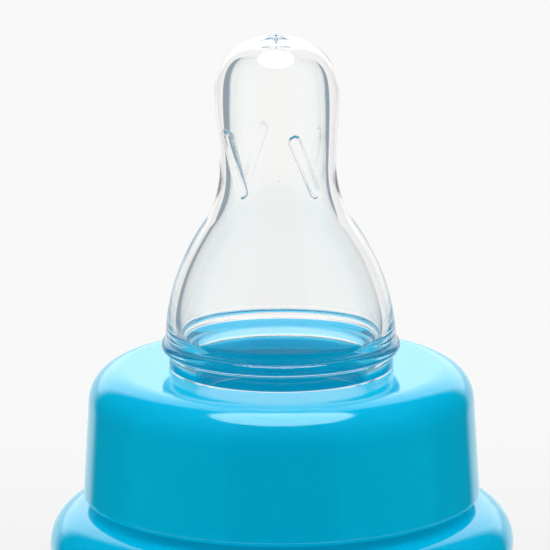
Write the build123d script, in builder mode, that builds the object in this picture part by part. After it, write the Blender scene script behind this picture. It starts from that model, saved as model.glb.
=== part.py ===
from build123d import *
import math
import os

# Infant feeding bottle, in millimetres.
# The origin is the centre of the base, +Z is up, and the bottle stands on the plane Z = 0.
# Three pieces: the bottle, the screw collar, and the teat that the collar clamps onto the rim.

# ---- bottle: outline ----
body_radius = 27.5            # straight lower half of the body
body_straight_top = 66.0      # where the lower half starts to draw in
waist_inset = 3.7             # how far the hand grip draws in from the body
waist_height = 104.0
shoulder_ledge = 3.9          # how far the shoulder's edge stands out past the collar's foot
edge_lean = 13.0              # degrees that the grip leans outward as it meets that edge
shoulder_height = 132.8       # flat top of the shoulder
shoulder_roll = 4.6           # radius of the rounded shoulder
base_corner = 7.0             # rounded corner at the foot
standing_ring_width = 3.0     # flat ring that the bottle stands on
push_up_height = 3.5          # how far the middle of the base is domed upward
bottle_wall = 1.6

# ---- bottle: neck ----
neck_outer_radius = 18.2
neck_wall = 2.0
neck_root_fillet = 0.8
rim_round = 0.4

# ---- screw thread, shared by the neck and the collar ----
thread_pitch = 4.0
thread_depth = 1.6
thread_root_width = 1.9
thread_crest_width = 1.0
thread_clearance = 0.4        # from the crest of either thread to the wall that it faces
thread_embed = 0.3            # how deep the root of a thread reaches into its own wall
thread_lead_in = 1.0          # slope at each end of a thread
neck_thread_turns = 1.5
neck_thread_rise = 3.0        # from the shoulder to the middle of the thread's lower end
neck_thread_land = 2.11       # plain neck from the thread's upper end to the rim
collar_thread_turns = 1.75

# ---- screw collar ----
collar_gap = 1.0              # open gap over the shoulder when the collar is screwed home
collar_wall = 2.55            # at the foot
collar_draft = 3.6            # degrees that the side leans inward
collar_top_fillet = 4.0
collar_foot_round = 0.6
collar_roof = 2.0             # thickness of the collar's top
collar_hole_radius = 12.4
collar_hole_round = 0.4
collar_inner_fillet = 1.5
collar_mouth_chamfer = 0.5

# ---- teat: what the collar holds ----
groove_clearance = 0.1        # between the teat's groove and the collar's hole
teat_neck_overhang = 0.5      # past the groove, where the teat rests on the collar's top
flange_thickness = 2.0
flange_inset = 0.1            # from the outside of the bottle's neck
flange_round = 0.3
throat_wall = 2.5             # from the groove to the bore through the teat's thick foot
mouth_round = 2.0             # opens the throat out to the underside of the flange

# ---- teat: outline, with heights above the top of the collar ----
bead_height = 2.6
bead_proud = 0.75             # past the teat's neck, like the foot of the bell
bead_tall = 1.4
bell_foot_proud = 0.37
bell_foot_slope = -0.04       # radius gained per height
bell_side_radius = 8.5
bell_side_height = 16.8
bell_side_slope = -0.69
teat_waist_radius = 6.6
teat_waist_height = 23.95
bulb_radius = 7.08
bulb_height = 31.45
dome_height = 6.7             # rise of the rounded tip over the bulb's widest ring

# ---- teat: walls ----
bell_wall = 1.65              # at the foot of the bell
bell_side_wall = 1.9
ledge_height = 1.9            # edge where the bell's rounded floor meets the throat
ledge_round = 3.0             # radius between the bell's wall and its floor
teat_waist_wall = 1.1
bulb_wall = 1.58
tip_wall = 1.55

# ---- teat: anti-collapse ribs inside its waist ----
rib_count = 4
rib_length = 8.0
rib_width = 1.4
rib_proud = 0.6
rib_slant = 22.0              # degrees from upright
rib_height = 24.0             # middle of a rib, above the top of the collar
rib_first_angle = -57.0       # middle of the first rib, from +X, seen from above

# ---- teat: feed opening and vent ----
feed_cut_length = 2.2
feed_cut_width = 0.25
vent_hole_diameter = 1.0
vent_hole_inset = 1.4         # from the bottle's bore to the middle of the vent
vent_channel_width = 1.4
vent_channel_depth = 0.6

# ---- heights worked out from the sizes above ----
neck_height = neck_thread_rise + neck_thread_turns * thread_pitch + thread_root_width / 2 + neck_thread_land
rim_height = shoulder_height + neck_height
roof_underside = rim_height + flange_thickness
collar_top = roof_underside + collar_roof
collar_foot = shoulder_height + collar_gap
bell_foot_height = bead_height + bead_tall / 2
teat_tip = collar_top + bulb_height + dome_height

# ---- radii worked out from the neck outward ----
neck_bore_radius = neck_outer_radius - neck_wall
collar_bore_radius = neck_outer_radius + thread_depth + thread_clearance
collar_foot_radius = collar_bore_radius + collar_wall
edge_radius = collar_foot_radius + shoulder_ledge
waist_radius = body_radius - waist_inset
flange_radius = neck_outer_radius - flange_inset
vent_hole_offset = neck_bore_radius - vent_hole_inset

# ---- radii worked out from the collar's hole ----
groove_radius = collar_hole_radius - groove_clearance
throat_radius = groove_radius - throat_wall
teat_neck_radius = groove_radius + teat_neck_overhang
bead_radius = teat_neck_radius + bead_proud
bell_foot_radius = teat_neck_radius + bell_foot_proud

os.makedirs("parts", exist_ok=True)


def body_section(inset):
    """Half section of the body, drawn in from its outside by the inset."""
    foot_flat = body_radius - base_corner
    ring_inside = foot_flat - standing_ring_width
    dome_radius = (ring_inside ** 2 + push_up_height ** 2) / (2 * push_up_height)
    dome_centre = push_up_height - dome_radius
    dome_edge = math.sqrt((dome_radius + inset) ** 2 - (dome_centre - inset) ** 2)
    edge_height = shoulder_height - shoulder_roll
    roll_centre = edge_radius - shoulder_roll
    lean = math.radians(edge_lean)
    roof = shoulder_height - inset
    with BuildSketch(Plane.XZ) as section:
        with BuildLine():
            RadiusArc((0, push_up_height + inset), (dome_edge, inset), dome_radius + inset)
            Line((dome_edge, inset), (foot_flat, inset))
            RadiusArc((foot_flat, inset), (body_radius - inset, base_corner), inset - base_corner)
            Line((body_radius - inset, base_corner), (body_radius - inset, body_straight_top))
            Spline(
                (body_radius - inset, body_straight_top),
                (waist_radius - inset, waist_height),
                (edge_radius - inset, edge_height),
                tangents=[(0, 1), (math.sin(lean), math.cos(lean))],
            )
            RadiusArc((edge_radius - inset, edge_height), (roll_centre, roof), inset - shoulder_roll)
            Line((roll_centre, roof), (0, roof))
            Line((0, roof), (0, push_up_height + inset))
        make_face()
    return section.sketch


def distance_from_axis(edge):
    """How far the middle of an edge is from the bottle's axis."""
    middle = edge.center()
    return math.hypot(middle.X, middle.Y)


def screw_thread(root_radius, crest_radius, foot, foot_angle, turns):
    """Right-hand trapezoid thread whose lower end starts at an angle from +X."""
    with BuildPart() as thread:
        with BuildLine(Plane.XY.offset(foot)) as path:
            Helix(thread_pitch, thread_pitch * turns, crest_radius)
        with BuildSketch(Plane.XZ):
            with Locations((0, foot)):
                Polygon(
                    (root_radius, -thread_root_width / 2),
                    (crest_radius, -thread_crest_width / 2),
                    (crest_radius, thread_crest_width / 2),
                    (root_radius, thread_root_width / 2),
                    align=None,
                )
        sweep(path=path.line, is_frenet=True)
        for end in thread.faces().filter_by(GeomType.PLANE):
            crest = min(end.edges(), key=lambda edge: abs(distance_from_axis(edge) - crest_radius))
            chamfer(crest, length=thread_lead_in)
    return thread.part.rotate(Axis.Z, foot_angle)


def ring_edges(radius, height):
    """Full circles of the piece being built at one radius and one height."""
    def is_there(edge):
        return abs(edge.radius - radius) < 0.01 and abs(edge.arc_center.Z - height) < 0.01
    return edges().filter_by(GeomType.CIRCLE).filter_by(is_there)


# ---- bottle ----
neck_thread = screw_thread(
    root_radius=neck_outer_radius - thread_embed,
    crest_radius=neck_outer_radius + thread_depth,
    foot=shoulder_height + neck_thread_rise,
    foot_angle=0,
    turns=neck_thread_turns,
)

with BuildPart() as bottle_body:
    add(body_section(0))
    revolve(axis=Axis.Z)
    with BuildSketch(Plane.XY.offset(shoulder_height)):
        Circle(neck_outer_radius)
    extrude(amount=neck_height)
    add(body_section(bottle_wall))
    revolve(axis=Axis.Z, mode=Mode.SUBTRACT)
    with BuildSketch(Plane.XY.offset(rim_height)):
        Circle(neck_bore_radius)
    extrude(amount=-neck_height - bottle_wall, mode=Mode.SUBTRACT)
    fillet(ring_edges(neck_outer_radius, shoulder_height), radius=neck_root_fillet)
    fillet(ring_edges(neck_bore_radius, shoulder_height - bottle_wall), radius=neck_root_fillet)
    fillet(ring_edges(neck_outer_radius, rim_height), radius=rim_round)
    fillet(ring_edges(neck_bore_radius, rim_height), radius=rim_round)
    add(neck_thread)

bottle_body.part.label = "bottle_body"
export_step(bottle_body.part, "parts/bottle_body.step")

# ---- screw collar ----
# Its thread lies midway between the turns of the neck's, so it starts half a turn further round.
collar_thread = screw_thread(
    root_radius=collar_bore_radius + thread_embed,
    crest_radius=collar_bore_radius - thread_depth,
    foot=shoulder_height + neck_thread_rise,
    foot_angle=180,
    turns=collar_thread_turns,
)

with BuildPart() as screw_collar:
    draft = math.tan(math.radians(collar_draft))
    collar_crown_radius = collar_foot_radius - (collar_top - collar_foot) * draft
    with BuildSketch(Plane.XZ):
        with BuildLine():
            Polyline(
                (collar_hole_radius, collar_top),
                (collar_crown_radius, collar_top),
                (collar_foot_radius, collar_foot),
                (collar_bore_radius, collar_foot),
                (collar_bore_radius, roof_underside),
                (collar_hole_radius, roof_underside),
                close=True,
            )
        make_face()
    revolve(axis=Axis.Z)
    fillet(ring_edges(collar_crown_radius, collar_top), radius=collar_top_fillet)
    fillet(ring_edges(collar_foot_radius, collar_foot), radius=collar_foot_round)
    fillet(ring_edges(collar_hole_radius, collar_top), radius=collar_hole_round)
    fillet(ring_edges(collar_bore_radius, roof_underside), radius=collar_inner_fillet)
    chamfer(ring_edges(collar_bore_radius, collar_foot), length=collar_mouth_chamfer)
    add(collar_thread)

screw_collar.part.label = "screw_collar"
export_step(screw_collar.part, "parts/screw_collar.step")

# ---- teat ----
# The bore follows the outside by each stretch's own wall, down to a rounded floor and a narrower throat.
bell_bore = bell_foot_radius - bell_wall
bell_side_bore = bell_side_radius - bell_side_wall
teat_waist_bore = teat_waist_radius - teat_waist_wall
bulb_bore = bulb_radius - bulb_wall
ledge_inset = throat_radius - (bell_bore - ledge_round)
ledge_top = ledge_height + math.sqrt(ledge_round ** 2 - ledge_inset ** 2)
flange_top = -collar_roof
flange_foot = rim_height - collar_top
bead_foot_height = bead_height - bead_tall / 2
teat_frame = Plane(origin=(0, 0, collar_top), x_dir=(1, 0, 0), z_dir=(0, -1, 0))

with BuildPart() as teat:
    with BuildSketch(teat_frame):
        with BuildLine():
            Polyline(
                (throat_radius + mouth_round, flange_foot),
                (flange_radius, flange_foot),
                (flange_radius, flange_top),
                (groove_radius, flange_top),
                (groove_radius, 0),
                (teat_neck_radius, 0),
                (teat_neck_radius, bead_foot_height),
            )
            ThreePointArc(
                (teat_neck_radius, bead_foot_height),
                (bead_radius, bead_height),
                (bell_foot_radius, bell_foot_height),
            )
            Spline(
                (bell_foot_radius, bell_foot_height),
                (bell_side_radius, bell_side_height),
                tangents=[(bell_foot_slope, 1), (bell_side_slope, 1)],
            )
            Spline(
                (bell_side_radius, bell_side_height),
                (teat_waist_radius, teat_waist_height),
                tangents=[(bell_side_slope, 1), (0, 1)],
            )
            Spline(
                (teat_waist_radius, teat_waist_height),
                (bulb_radius, bulb_height),
                tangents=[(0, 1), (0, 1)],
            )
            EllipticalCenterArc((0, bulb_height), bulb_radius, dome_height, 0, arc_size=90)
            Line((0, bulb_height + dome_height), (0, bulb_height + dome_height - tip_wall))
            EllipticalCenterArc((0, bulb_height), bulb_bore, dome_height - tip_wall, 0, arc_size=90)
            Spline(
                (bulb_bore, bulb_height),
                (teat_waist_bore, teat_waist_height),
                tangents=[(0, -1), (0, -1)],
            )
            Spline(
                (teat_waist_bore, teat_waist_height),
                (bell_side_bore, bell_side_height),
                tangents=[(0, -1), (-bell_side_slope, -1)],
            )
            Spline(
                (bell_side_bore, bell_side_height),
                (bell_bore, ledge_top),
                tangents=[(-bell_side_slope, -1), (0, -1)],
            )
            RadiusArc((bell_bore, ledge_top), (throat_radius, ledge_height), ledge_round)
            Line((throat_radius, ledge_height), (throat_radius, flange_foot + mouth_round))
            RadiusArc(
                (throat_radius, flange_foot + mouth_round),
                (throat_radius + mouth_round, flange_foot),
                -mouth_round,
            )
        make_face()
    revolve(axis=Axis.Z)
    fillet(ring_edges(flange_radius, roof_underside), radius=flange_round)
    fillet(ring_edges(flange_radius, rim_height), radius=flange_round)

    # Slanted ribs that keep the soft waist from folding flat when the baby sucks.
    for rib in range(rib_count):
        outward = Vector(1, 0, 0).rotate(Axis.Z, rib_first_angle + rib * 360 / rib_count)
        rib_face = outward * (teat_waist_bore - rib_proud) + Vector(0, 0, collar_top + rib_height)
        sideways = Vector(0, 0, 1).cross(outward)
        with BuildSketch(Plane(origin=rib_face, x_dir=sideways, z_dir=outward)):
            SlotOverall(rib_length, rib_width, rotation=90 + rib_slant)
        extrude(amount=rib_proud + teat_waist_wall / 2)

    # Cross cut that opens when the teat is squeezed.
    with BuildSketch(Plane.XY.offset(teat_tip)):
        Rectangle(feed_cut_length, feed_cut_width)
        Rectangle(feed_cut_width, feed_cut_length)
    extrude(amount=-2 * tip_wall, mode=Mode.SUBTRACT)

    # Air vent through the flange, fed from the flange's edge by a shallow channel under the roof.
    with BuildSketch(Plane.XY.offset(rim_height)):
        with Locations((0, vent_hole_offset)):
            Circle(vent_hole_diameter / 2)
    extrude(amount=collar_roof * 2, mode=Mode.SUBTRACT)
    with BuildSketch(Plane.XY.offset(roof_underside)):
        with Locations((0, vent_hole_offset)):
            Rectangle(vent_channel_width, flange_radius, align=(Align.CENTER, Align.MIN))
            Circle(vent_channel_width / 2)
    extrude(amount=-vent_channel_depth, mode=Mode.SUBTRACT)

teat.part.label = "teat"
export_step(teat.part, "parts/teat.step")
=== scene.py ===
"""Looks of an infant feeding bottle: clear ribbed silicone teat, glossy cyan collar and body, bright studio.

Lengths are millimetres until they reach Blender, where MM turns them into metres.
The bottle's axis is the Z axis, +Z is up, and the camera stands in front, on -Y.
"""

import math

import bpy
import numpy as np
from mathutils import Matrix, Vector


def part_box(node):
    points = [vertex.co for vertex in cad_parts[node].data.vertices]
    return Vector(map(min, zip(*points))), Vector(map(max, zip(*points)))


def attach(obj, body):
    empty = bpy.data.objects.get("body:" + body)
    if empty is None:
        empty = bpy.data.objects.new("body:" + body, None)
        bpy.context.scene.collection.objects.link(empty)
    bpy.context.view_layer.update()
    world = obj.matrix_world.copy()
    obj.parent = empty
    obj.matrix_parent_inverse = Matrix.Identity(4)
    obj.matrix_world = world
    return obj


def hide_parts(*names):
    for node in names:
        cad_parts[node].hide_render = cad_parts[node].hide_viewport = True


MM = 0.001

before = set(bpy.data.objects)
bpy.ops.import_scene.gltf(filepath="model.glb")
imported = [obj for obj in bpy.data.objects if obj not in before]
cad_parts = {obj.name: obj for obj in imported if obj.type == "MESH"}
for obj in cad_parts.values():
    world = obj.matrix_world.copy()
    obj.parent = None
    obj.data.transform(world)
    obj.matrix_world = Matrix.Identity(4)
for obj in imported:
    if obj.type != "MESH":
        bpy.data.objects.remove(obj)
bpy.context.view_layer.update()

collar_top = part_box("screw_collar")[1].z / MM
flange_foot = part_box("teat")[0].z / MM - collar_top
flange_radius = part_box("teat")[1].x / MM
tip_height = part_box("teat")[1].z / MM - collar_top


# ---------------------------------------------------------------- node helpers


def add_node(tree, kind, **settings):
    """A node with its properties and unlinked inputs set by name."""
    node = tree.nodes.new(kind)
    for name, value in settings.items():
        if name in node.inputs:
            node.inputs[name].default_value = value
        else:
            setattr(node, name, value)
    return node


def calculate(tree, operation, first, second=0.0):
    """A math node. Each operand is a number or another node's output."""
    node = tree.nodes.new("ShaderNodeMath")
    node.operation = operation
    for socket, value in zip(node.inputs, (first, second)):
        if isinstance(value, (int, float)):
            socket.default_value = value
        else:
            tree.links.new(value, socket)
    return node.outputs[0]


def step_between(tree, value, low, high, at_low=0.0, at_high=1.0):
    """A smooth step from one level to another as a value goes from low to high."""
    node = tree.nodes.new("ShaderNodeMapRange")
    node.interpolation_type = "SMOOTHSTEP"
    tree.links.new(value, node.inputs["Value"])
    node.inputs["From Min"].default_value = low
    node.inputs["From Max"].default_value = high
    node.inputs["To Min"].default_value = at_low
    node.inputs["To Max"].default_value = at_high
    return node.outputs["Result"]


def mix_levels(tree, factor, first, second):
    """Blends two levels or colours, each a constant or an output."""
    node = tree.nodes.new("ShaderNodeMix")
    node.data_type = "RGBA"
    tree.links.new(factor, node.inputs["Factor"])
    for name, value in (("A", first), ("B", second)):
        socket = [s for s in node.inputs if s.name == name and s.type == "RGBA"][0]
        if isinstance(value, tuple):
            socket.default_value = (*value, 1.0)
        else:
            tree.links.new(value, socket)
    return [s for s in node.outputs if s.type == "RGBA"][0]


# ---------------------------------------------------------------- teat mesh


def stretch(start, end, start_slope, end_slope, count):
    """Outline from one (radius, height) to the next, with the radius gained per height at each end."""
    t = np.linspace(0, 1, count, endpoint=False)
    rise = end[1] - start[1]
    radius = (
        (2 * t**3 - 3 * t**2 + 1) * start[0]
        + (t**3 - 2 * t**2 + t) * rise * start_slope
        + (3 * t**2 - 2 * t**3) * end[0]
        + (t**3 - t**2) * rise * end_slope
    )
    return list(zip(radius, start[1] + t * rise))


def arc(centre, size, first, last, count, power=2.0):
    """Outline round a centre, from one angle to another; a power over 2 makes the ellipse squarer."""
    angles = np.radians(np.linspace(first, last, count, endpoint=False))
    cosines, sines = np.cos(angles), np.sin(angles)
    across = np.sign(cosines) * np.abs(cosines) ** (2 / power)
    up = np.sign(sines) * np.abs(sines) ** (2 / power)
    return list(zip(centre[0] + size[0] * across, centre[1] + size[1] * up))


def straight(start, end, count):
    """Outline along a straight line."""
    t = np.linspace(0, 1, count, endpoint=False)[:, None]
    return [tuple(p) for p in np.array(start) * (1 - t) + np.array(end) * t]


SEGMENTS = 264

# Outside, with heights above the top of the collar.
BEAD_HEIGHT, BEAD_RADIUS, BEAD_TALL = 2.6, 13.55, 1.4
NECK_RADIUS = 12.8
GROOVE_RADIUS = 12.3
BELL_FOOT, BELL_SIDE, WAIST = (13.17, 3.3), (8.5, 16.8), (6.6, 23.95)
BELL_SIDE_SLOPE, BELL_FOOT_SLOPE = -0.69, -0.04
FLANGE_ROUND = 0.3
BULB_HEIGHT, BULB_RADIUS = 31.45, 7.08
DOME_POWER = 2.19
COLLAR_ROOF = 2.0
# Inside.
BULB_BORE, WAIST_BORE, BELL_SIDE_BORE, BELL_BORE = 5.48, 5.42, 7.0, 11.52
INNER_DOME_POWER = 2.6
TIP_WALL = 1.55
THROAT_RADIUS, LEDGE_HEIGHT, LEDGE_ROUND = 9.8, 1.9, 3.0
MOUTH_ROUND = 2.0
# Ribs.
RIB_COUNT, RIB_LENGTH, RIB_WIDTH, RIB_PROUD, RIB_SLANT = 4, 8.0, 1.4, 0.6, 22.0
RIB_HEIGHT, RIB_FIRST_ANGLE = 24.0, -57.0
RIB_ZONE = 8.0
# Feed cut: a cross, slightly open.
CUT_REACH, CUT_HALF_WIDTH, CUT_BLEND = 0.9, 0.1, 1.8
# How far the tip leans to the left.
TEAT_LEAN = -0.45


def teat_outline():
    """Rings from the feed cut down the outside, under the flange, up the bore and back to the cut."""
    dome_height = tip_height - BULB_HEIGHT
    inner_dome = dome_height - TIP_WALL
    edge = FLANGE_ROUND
    outside = arc((0, BULB_HEIGHT), (BULB_RADIUS, dome_height), 90, 0, 44, DOME_POWER)
    outside += stretch((BULB_RADIUS, BULB_HEIGHT), WAIST, 0, 0, 20)
    outside += stretch(WAIST, BELL_SIDE, 0, BELL_SIDE_SLOPE, 24)
    outside += stretch(BELL_SIDE, BELL_FOOT, BELL_SIDE_SLOPE, BELL_FOOT_SLOPE, 36)
    outside += arc((NECK_RADIUS + 0.05, BEAD_HEIGHT), (BEAD_RADIUS - NECK_RADIUS, BEAD_TALL / 2), 85, -85, 14)
    outside += straight((NECK_RADIUS, BEAD_HEIGHT - BEAD_TALL / 2), (NECK_RADIUS, 0.05), 6)
    outside += straight((NECK_RADIUS, 0), (GROOVE_RADIUS, 0), 2)
    outside += straight((GROOVE_RADIUS, 0), (GROOVE_RADIUS, -COLLAR_ROOF), 4)
    outside += straight((GROOVE_RADIUS, -COLLAR_ROOF), (flange_radius - edge, -COLLAR_ROOF), 6)
    outside += arc((flange_radius - edge, -COLLAR_ROOF - edge), (edge, edge), 90, 0, 4)
    outside += arc((flange_radius - edge, flange_foot + edge), (edge, edge), 0, -90, 4)
    under = straight((flange_radius - edge, flange_foot), (THROAT_RADIUS + MOUTH_ROUND, flange_foot), 6)
    under += arc((THROAT_RADIUS + MOUTH_ROUND, flange_foot + MOUTH_ROUND), (MOUTH_ROUND, MOUTH_ROUND), 270, 180, 10)
    ledge_centre = BELL_BORE - LEDGE_ROUND
    ledge_lift = math.sqrt(LEDGE_ROUND**2 - (THROAT_RADIUS - ledge_centre) ** 2)
    ledge_angle = math.degrees(math.atan2(-ledge_lift, THROAT_RADIUS - ledge_centre))
    inside = straight((THROAT_RADIUS, flange_foot + MOUTH_ROUND), (THROAT_RADIUS, LEDGE_HEIGHT), 12)
    inside += arc((ledge_centre, LEDGE_HEIGHT + ledge_lift), (LEDGE_ROUND, LEDGE_ROUND), ledge_angle, 0, 16)
    bell_top = (BELL_BORE, LEDGE_HEIGHT + ledge_lift)
    inside += stretch(bell_top, (BELL_SIDE_BORE, BELL_SIDE[1]), 0, BELL_SIDE_SLOPE, 32)
    inside += stretch((BELL_SIDE_BORE, BELL_SIDE[1]), (WAIST_BORE, WAIST[1]), BELL_SIDE_SLOPE, 0, 48)
    inside += stretch((WAIST_BORE, WAIST[1]), (BULB_BORE, BULB_HEIGHT), 0, 0, 44)
    inside += arc((0, BULB_HEIGHT), (BULB_BORE, inner_dome), 0, 90, 44, INNER_DOME_POWER)
    return outside, under + inside


def rib_relief(angles, height, bore):
    """How far the ribs stand into the bore round one ring."""
    slant = math.radians(RIB_SLANT)
    half_width = RIB_WIDTH / 2
    relief = np.zeros_like(angles)
    for rib in range(RIB_COUNT):
        middle = math.radians(RIB_FIRST_ANGLE + rib * 360 / RIB_COUNT)
        sideways = bore * ((angles - middle + math.pi) % (2 * math.pi) - math.pi)
        up = height - RIB_HEIGHT
        along = up * math.cos(slant) - sideways * math.sin(slant)
        across = up * math.sin(slant) + sideways * math.cos(slant)
        past_end = np.maximum(np.abs(along) - (RIB_LENGTH / 2 - half_width), 0)
        distance = np.hypot(past_end, across) / half_width
        relief = np.maximum(relief, RIB_PROUD * (1 - np.minimum(distance, 1) ** 4) ** 0.75)
    return relief


def cut_radius(angles):
    """Edge of the slightly open cross cut."""
    arms = np.abs(np.cos(2 * angles)) ** 14
    return CUT_HALF_WIDTH + (CUT_REACH - CUT_HALF_WIDTH) * arms


def make_teat():
    outside, inside = teat_outline()
    angles = np.linspace(0, 2 * math.pi, SEGMENTS, endpoint=False)
    rings = []
    for ring, (radius, height) in enumerate(outside + inside):
        radii = np.full(SEGMENTS, radius)
        if ring >= len(outside) and abs(height - WAIST[1]) < RIB_ZONE:
            radii -= rib_relief(angles, height, radius)
        if radius < CUT_BLEND and height > BULB_HEIGHT:
            radii += cut_radius(angles) * (1 - radius / CUT_BLEND)
        lean = TEAT_LEAN * max(height, 0) / tip_height
        ring_points = np.stack(
            [radii * np.cos(angles) + lean, radii * np.sin(angles), np.full(SEGMENTS, collar_top + height)], axis=1
        )
        rings.append(ring_points)
    points = np.concatenate(rings) * MM
    count = len(rings)
    faces = []
    for ring in range(count):
        here, there = ring * SEGMENTS, ((ring + 1) % count) * SEGMENTS
        for segment in range(SEGMENTS):
            following = (segment + 1) % SEGMENTS
            faces.append((here + segment, there + segment, there + following, here + following))
    mesh = bpy.data.meshes.new("teat_skin")
    mesh.from_pydata(points.tolist(), [], faces)
    mesh.shade_smooth()
    mesh.update()
    teat = bpy.data.objects.new("silicone_teat", mesh)
    bpy.context.scene.collection.objects.link(teat)
    return teat


# ---------------------------------------------------------------- materials


SILICONE_IOR = 1.41
SPECK_SCALE, SPECK_SCARCITY = 420.0, 0.86
CLOUD_SCALE = 90.0
WAVE_SCALE, WAVE_DEPTH = 130.0, 0.00006


def silicone():
    """Clear silicone, a little wavy from its mould and dusted with specks; lamps shine through to what it covers."""
    material = bpy.data.materials.new("clear_silicone")
    material.use_nodes = True
    tree = material.node_tree
    shader = tree.nodes["Principled BSDF"]
    shader.inputs["Transmission Weight"].default_value = 1.0
    shader.inputs["IOR"].default_value = SILICONE_IOR
    place = add_node(tree, "ShaderNodeTexCoord")

    specks = add_node(tree, "ShaderNodeTexVoronoi", Scale=SPECK_SCALE)
    tree.links.new(place.outputs["Object"], specks.inputs["Vector"])
    chance = tree.nodes.new("ShaderNodeSeparateColor")
    tree.links.new(specks.outputs["Color"], chance.inputs[0])
    chosen = calculate(tree, "GREATER_THAN", chance.outputs[0], SPECK_SCARCITY)
    near = step_between(tree, specks.outputs["Distance"], 0.02, 0.05, 1.0, 0.0)
    speck = calculate(tree, "MULTIPLY", chosen, near)
    cloud = add_node(tree, "ShaderNodeTexNoise", Scale=CLOUD_SCALE, Detail=2.0)
    tree.links.new(place.outputs["Object"], cloud.inputs["Vector"])
    clear = mix_levels(tree, cloud.outputs["Fac"], (0.988, 0.988, 0.984), (0.996, 0.996, 0.993))
    tint = mix_levels(tree, speck, clear, (0.35, 0.33, 0.30))
    tree.links.new(tint, shader.inputs["Base Color"])
    dull = step_between(tree, speck, 0.0, 1.0, 0.0, 0.5)
    tree.links.new(dull, shader.inputs["Roughness"])

    waves = add_node(tree, "ShaderNodeTexNoise", Scale=WAVE_SCALE, Detail=1.0)
    tree.links.new(place.outputs["Object"], waves.inputs["Vector"])
    bump = add_node(tree, "ShaderNodeBump", Strength=1.0, Distance=WAVE_DEPTH)
    tree.links.new(waves.outputs["Fac"], bump.inputs["Height"])
    tree.links.new(bump.outputs["Normal"], shader.inputs["Normal"])

    path = add_node(tree, "ShaderNodeLightPath")
    lamp = calculate(tree, "MAXIMUM", path.outputs["Is Shadow Ray"], path.outputs["Is Diffuse Ray"])
    open_way = tree.nodes.new("ShaderNodeBsdfTransparent")
    choice = tree.nodes.new("ShaderNodeMixShader")
    tree.links.new(lamp, choice.inputs["Fac"])
    tree.links.new(shader.outputs["BSDF"], choice.inputs[1])
    tree.links.new(open_way.outputs["BSDF"], choice.inputs[2])
    tree.links.new(choice.outputs["Shader"], tree.nodes["Material Output"].inputs["Surface"])
    return material


PLASTIC = (0.0, 0.41, 0.72)
# Painted glow: an even cyan emission that stands in for the daylight the thin cloudy walls pass on from behind.
PAINTED_WALL_GLOW = (0.0, 0.125, 0.12)
PLASTIC_IOR = 1.49
PLASTIC_CLOUD_SCALE = 60.0
DARKER_CLOUDS = 0.97
SCATTER_DEPTH = 0.003


def gloss_plastic(name, colour):
    """Moulded polypropylene that lets a little light through, with a faint cloudiness in colour and gloss, and a
    painted glow for the daylight its walls pass on.
    """
    material = bpy.data.materials.new(name)
    material.use_nodes = True
    tree = material.node_tree
    shader = tree.nodes["Principled BSDF"]
    place = add_node(tree, "ShaderNodeTexCoord")
    cloud = add_node(tree, "ShaderNodeTexNoise", Scale=PLASTIC_CLOUD_SCALE, Detail=3.0, Roughness=0.5)
    tree.links.new(place.outputs["Object"], cloud.inputs["Vector"])
    darker = tuple(DARKER_CLOUDS * c for c in colour)
    tint = mix_levels(tree, cloud.outputs["Fac"], darker, colour)
    tree.links.new(tint, shader.inputs["Base Color"])
    rough = step_between(tree, cloud.outputs["Fac"], 0.3, 0.7, 0.06, 0.10)
    tree.links.new(rough, shader.inputs["Roughness"])
    shader.inputs["IOR"].default_value = PLASTIC_IOR
    shader.inputs["Specular Tint"].default_value = (0.7, 0.97, 1.0, 1.0)
    shader.inputs["Subsurface Weight"].default_value = 1.0
    shader.inputs["Subsurface Radius"].default_value = (0.3, 1.0, 1.0)
    shader.inputs["Subsurface Scale"].default_value = SCATTER_DEPTH
    # Painted glow: the plastic gives off a faint cyan light everywhere, in place of the light let through its walls.
    shader.inputs["Emission Color"].default_value = (*PAINTED_WALL_GLOW, 1.0)
    shader.inputs["Emission Strength"].default_value = 1.0
    return material


teat = make_teat()
teat.data.materials.append(silicone())
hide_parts("teat")
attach(teat, "teat")

for node, name in (("bottle_body", "bottle_cyan"), ("screw_collar", "collar_cyan")):
    for material_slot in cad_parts[node].material_slots:
        material_slot.material = gloss_plastic(name, PLASTIC)


# ---------------------------------------------------------------- studio

FLOOR_RADIUS, FLOOR_SOLID_RADIUS = 0.6, 0.2


def make_floor():
    """Round pale floor that fades out at its rim."""
    steps = 128
    mesh = bpy.data.meshes.new("floor")
    rim = [
        (FLOOR_RADIUS * math.cos(2 * math.pi * i / steps), FLOOR_RADIUS * math.sin(2 * math.pi * i / steps), 0)
        for i in range(steps)
    ]
    mesh.from_pydata(rim, [], [tuple(range(steps))])
    floor = bpy.data.objects.new("floor", mesh)
    bpy.context.scene.collection.objects.link(floor)
    material = bpy.data.materials.new("pale_floor")
    material.use_nodes = True
    tree = material.node_tree
    shader = tree.nodes["Principled BSDF"]
    shader.inputs["Base Color"].default_value = (0.7, 0.7, 0.7, 1.0)
    shader.inputs["Roughness"].default_value = 0.6
    shader.inputs["Specular IOR Level"].default_value = 0.2
    place = add_node(tree, "ShaderNodeTexCoord")
    length = tree.nodes.new("ShaderNodeVectorMath")
    length.operation = "LENGTH"
    tree.links.new(place.outputs["Object"], length.inputs[0])
    solid = step_between(tree, length.outputs["Value"], FLOOR_SOLID_RADIUS, FLOOR_RADIUS * 0.95, 1.0, 0.0)
    tree.links.new(solid, shader.inputs["Alpha"])
    mesh.materials.append(material)


BACKGROUND = (0.945, 0.945, 0.95)
# Light that falls on the plastic: even from all round, and stronger from above.
SOFT_ROUND = (0.08, 0.08, 0.08)
SOFT_TOP = (1.55, 1.55, 1.55)
# What shows through the teat: a wide white backdrop behind it, with grey-blue flags to its sides.
BACKDROP = (0.955, 0.955, 0.945)
FLAG = (0.27, 0.34, 0.40)
BACKDROP_LEFT, BACKDROP_RIGHT = -33.0, 41.5
FLAG_END, FLAG_BLUR = 81.0, 2.0
FLAG_TOP, FLAG_TOP_CLEAR = 52.0, 58.0
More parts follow.
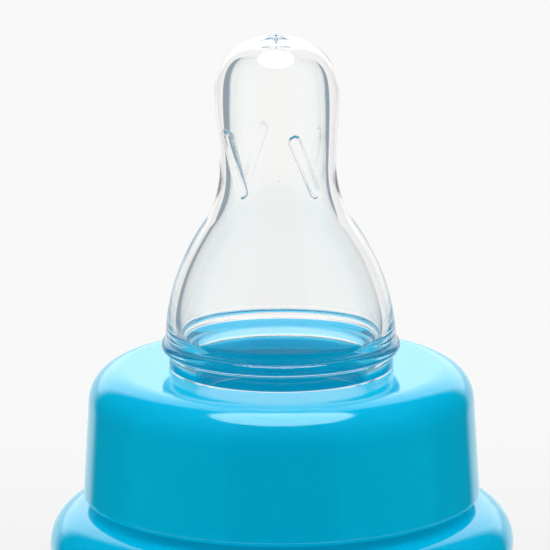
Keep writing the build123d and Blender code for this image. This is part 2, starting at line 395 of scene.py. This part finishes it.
# What the gloss mirrors: a round softbox overhead, a white back that is brighter above, cyan sides and a dark front.
SOFTBOX = (8.5, 8.5, 8.5)
SOFTBOX_RADIUS = 0.42
SOFTBOX_SETBACK, SOFTBOX_BLUR = -0.08, 0.02
HIGH_BACK = (1.85, 1.85, 1.85)
LOW_BACK = (0.93, 0.93, 0.93)
SIDES = (0.03, 0.60, 0.65)
DIM = (0.02, 0.05, 0.05)
DIM_FRONT, SIDES_END, BACK_FROM, MIRROR_BLUR = 32.0, 100.0, 145.0, 6.0
BACK_RISE_START, BACK_RISE_END = 0.05, 0.15


def make_world():
    world = bpy.data.worlds.new("studio")
    bpy.context.scene.world = world
    world.use_nodes = True
    tree = world.node_tree
    background = tree.nodes["Background"]
    place = add_node(tree, "ShaderNodeTexCoord")
    parts = tree.nodes.new("ShaderNodeSeparateXYZ")
    tree.links.new(place.outputs["Generated"], parts.inputs[0])
    x, y, z = parts.outputs
    radians = math.radians

    bearing = calculate(tree, "ARCTAN2", x, y)
    away = calculate(tree, "ABSOLUTE", bearing)
    flagged = step_between(tree, away, radians(FLAG_END - FLAG_BLUR), radians(FLAG_END + FLAG_BLUR), 1.0, 0.0)
    left_edge, right_edge = BACKDROP_LEFT, BACKDROP_RIGHT
    left = step_between(tree, bearing, radians(left_edge - FLAG_BLUR), radians(left_edge + FLAG_BLUR))
    right = step_between(tree, bearing, radians(right_edge - FLAG_BLUR), radians(right_edge + FLAG_BLUR), 1.0, 0.0)
    backed = calculate(tree, "MULTIPLY", left, right)
    through = mix_levels(tree, flagged, BACKDROP, FLAG)
    through = mix_levels(tree, backed, through, BACKDROP)
    above = step_between(tree, z, math.sin(radians(FLAG_TOP)), math.sin(radians(FLAG_TOP_CLEAR)))
    through = mix_levels(tree, above, through, BACKDROP)

    front_edge, side_edge, back_edge = 180 - DIM_FRONT, 180 - SIDES_END, 180 - BACK_FROM
    front = step_between(tree, away, radians(front_edge - MIRROR_BLUR), radians(front_edge + MIRROR_BLUR), 1.0, 0.0)
    side = step_between(tree, away, radians(side_edge - MIRROR_BLUR), radians(side_edge + MIRROR_BLUR))
    back = step_between(tree, away, radians(back_edge - MIRROR_BLUR), radians(back_edge + MIRROR_BLUR), 1.0, 0.0)
    raised = step_between(tree, z, BACK_RISE_START, BACK_RISE_END)
    back_level = mix_levels(tree, raised, LOW_BACK, HIGH_BACK)
    sides = calculate(tree, "MULTIPLY", front, side)
    mirrored = mix_levels(tree, sides, DIM, SIDES)
    mirrored = mix_levels(tree, back, mirrored, back_level)
    setback = calculate(tree, "SUBTRACT", y, SOFTBOX_SETBACK)
    squares = calculate(tree, "ADD", calculate(tree, "MULTIPLY", x, x), calculate(tree, "MULTIPLY", setback, setback))
    across = calculate(tree, "SQRT", squares)
    inside = step_between(tree, across, SOFTBOX_RADIUS - SOFTBOX_BLUR, SOFTBOX_RADIUS + SOFTBOX_BLUR, 1.0, 0.0)
    inside = calculate(tree, "MULTIPLY", inside, calculate(tree, "GREATER_THAN", z, 0.0))
    mirrored = mix_levels(tree, inside, mirrored, SOFTBOX)

    upward = step_between(tree, z, 0.0, 1.0)
    soft = mix_levels(tree, upward, SOFT_ROUND, SOFT_TOP)
    path = add_node(tree, "ShaderNodeLightPath")
    level = mix_levels(tree, path.outputs["Is Glossy Ray"], soft, mirrored)
    level = mix_levels(tree, path.outputs["Is Transmission Ray"], level, through)
    level = mix_levels(tree, path.outputs["Is Camera Ray"], level, BACKGROUND)
    tree.links.new(level, background.inputs["Color"])


CAMERA_TARGET, CAMERA_DISTANCE = (-0.675, 0, 159.44), 511
CAMERA_ELEVATION, CAMERA_ROLL = 12.9, -0.23
SENSOR_WIDTH, FOCAL_LENGTH = 36, 294.5


def make_camera():
    target = Vector(CAMERA_TARGET) * MM
    elevation = math.radians(CAMERA_ELEVATION)
    roll = math.radians(CAMERA_ROLL)
    distance = CAMERA_DISTANCE * MM
    data = bpy.data.cameras.new("camera")
    data.sensor_width = SENSOR_WIDTH
    data.lens = FOCAL_LENGTH
    data.clip_start = 0.01
    camera = bpy.data.objects.new("camera", data)
    bpy.context.scene.collection.objects.link(camera)
    camera.location = target + distance * Vector((0, -math.cos(elevation), math.sin(elevation)))
    upright = Matrix.Rotation(math.pi / 2 - elevation, 3, "X")
    camera.rotation_euler = (upright @ Matrix.Rotation(roll, 3, "Z")).to_euler()
    bpy.context.scene.camera = camera


make_floor()
make_world()
make_camera()
bpy.context.scene.view_settings.view_transform = "Standard"
# Light turns many times inside the thick clear wall before it comes out.
bpy.context.scene.cycles.max_bounces = 32
bpy.context.scene.cycles.transmission_bounces = 32
bpy.context.scene.cycles.glossy_bounces = 16
